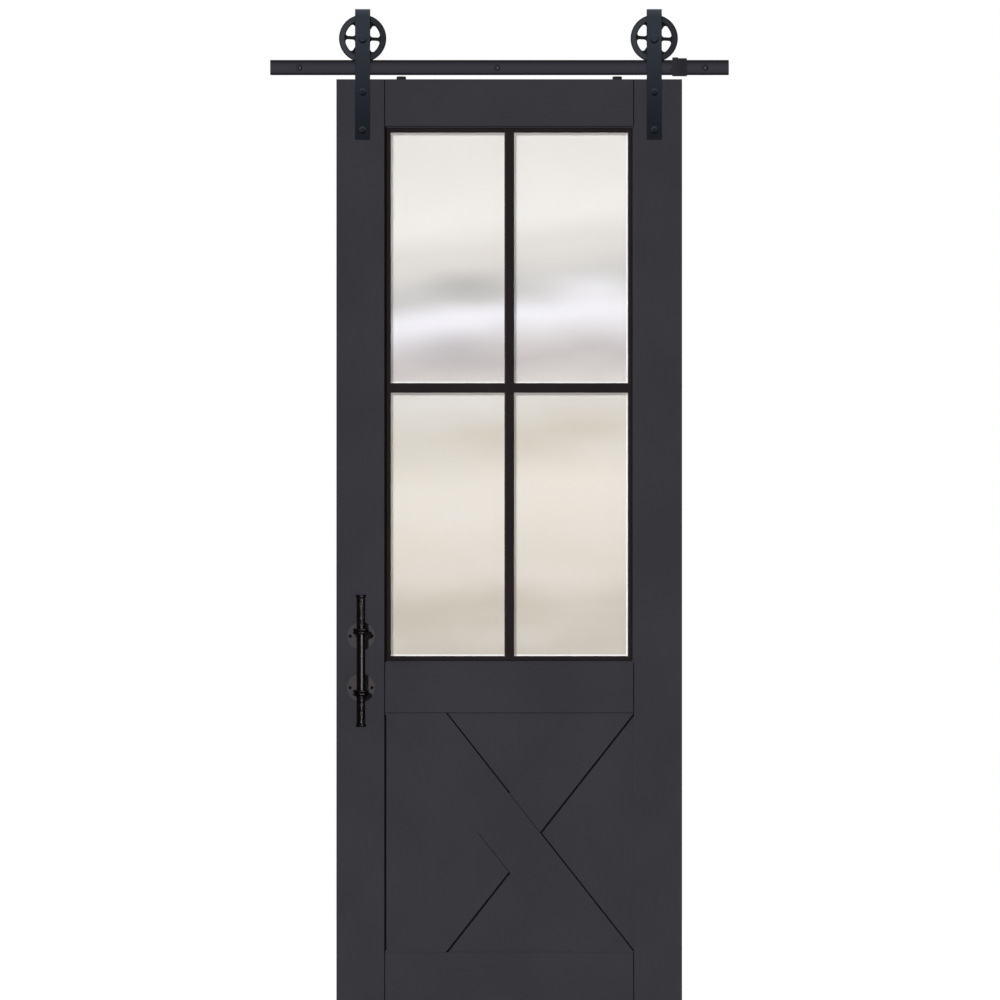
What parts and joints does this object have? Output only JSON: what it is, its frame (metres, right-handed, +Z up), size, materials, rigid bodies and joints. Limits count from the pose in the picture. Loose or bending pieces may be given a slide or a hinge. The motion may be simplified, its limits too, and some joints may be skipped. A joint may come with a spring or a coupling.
{
  "type": "sliding barn door",
  "caption": "Painted sliding barn door with a frosted four-light window over a crossed-board panel, hung by two spoked wheels in bent straps on a flat wall track, with pipe handle and end stop.",
  "frame": {"origin": "where the axis of the middle track bolt meets the wall", "axes": "+Z up, +X to the right seen from the room, +Y into the wall"},
  "size_m": [1.2136, 0.182, 2.6244],
  "materials": {
    "door_paint": "satin charcoal paint",
    "track_black": "satin powder coat",
    "hanger_black": "blue-black powder coat",
    "bolt_black": "black oxide",
    "bar_black": "black paint",
    "frosted_glass": "frosted",
    "rubber_black": "matte",
    "bearing_steel": "ground",
    "handle_iron": "black, hammered at the ends",
    "handle_flange_iron": "dark raw iron"
  },
  "bodies": {
    "track": {"lag_bolts": "bolt_black", "spacer_left": "track_black", "spacer_middle": "track_black", "spacer_right": "track_black", "stop_buffer": "rubber_black", "stop_clamp": "track_black", "stop_set_screws": "bolt_black", "track_rail": "track_black"},
    "door": {"axle_left": "bolt_black", "axle_nuts": "bolt_black", "axle_right": "bolt_black", "axle_sleeves_left": "bearing_steel", "axle_sleeves_right": "bearing_steel", "bearing_inner_ring_left": "bearing_steel", "bearing_inner_ring_right": "bearing_steel", "bottom_rail_back": "door_paint", "bottom_rail_front": "door_paint", "brace_long_back": "door_paint", "brace_long_front": "door_paint", "brace_lower_back": "door_paint", "brace_lower_front": "door_paint", "brace_upper_back": "door_paint", "brace_upper_front": "door_paint", "cap_nuts": "bolt_black", "core_panel": "door_paint", "glass_gasket": "rubber_black", "glass_pane": "frosted_glass", "guide_disc_left": "hanger_black", "guide_disc_right": "hanger_black", "guide_disc_screws": "bolt_black", "handle_bracket_lower": "handle_iron", "handle_bracket_upper": "handle_iron", "handle_flange_lower": "handle_flange_iron", "handle_flange_upper": "handle_flange_iron", "handle_nipple_lower": "handle_iron", "handle_nipple_upper": "handle_iron", "handle_pipe": "handle_iron", "handle_screws": "bolt_black", "hanger_bolts": "bolt_black", "middle_rail_back": "door_paint", "middle_rail_front": "door_paint", "stile_left_back": "door_paint", "stile_left_front": "door_paint", "stile_right_back": "door_paint", "stile_right_front": "door_paint", "strap_left": "hanger_black", "strap_right": "hanger_black", "top_rail_back": "door_paint", "top_rail_front": "door_paint", "washers": "bolt_black", "window_bars_back": "bar_black", "window_bars_front": "bar_black"},
    "wheel_left": {"wheel_left": "hanger_black", "bearing_outer_ring_left": "bearing_steel"},
    "wheel_right": {"wheel_right": "hanger_black", "bearing_outer_ring_right": "bearing_steel"}
  },
  "joints": [
    {"name": "door_slide", "type": "slide", "parent": "track", "child": "door", "axis": [1, 0, 0], "range_m": [-0.215, 0.009]},
    {"name": "wheel_left_spin", "type": "hinge", "parent": "door", "child": "wheel_left", "pos_m": [-0.3547, -0.039, 0.0771], "axis": [0, 1, 0], "range_deg": [-230, 15]},
    {"name": "wheel_right_spin", "type": "hinge", "parent": "door", "child": "wheel_right", "pos_m": [0.4167, -0.039, 0.0771], "axis": [0, 1, 0], "range_deg": [-230, 15]}
  ],
  "couplings": [
    {"joint": "wheel_left_spin", "follows": "door_slide", "rad_per_m": 17.544},
    {"joint": "wheel_right_spin", "follows": "door_slide", "rad_per_m": 17.544}
  ]
}
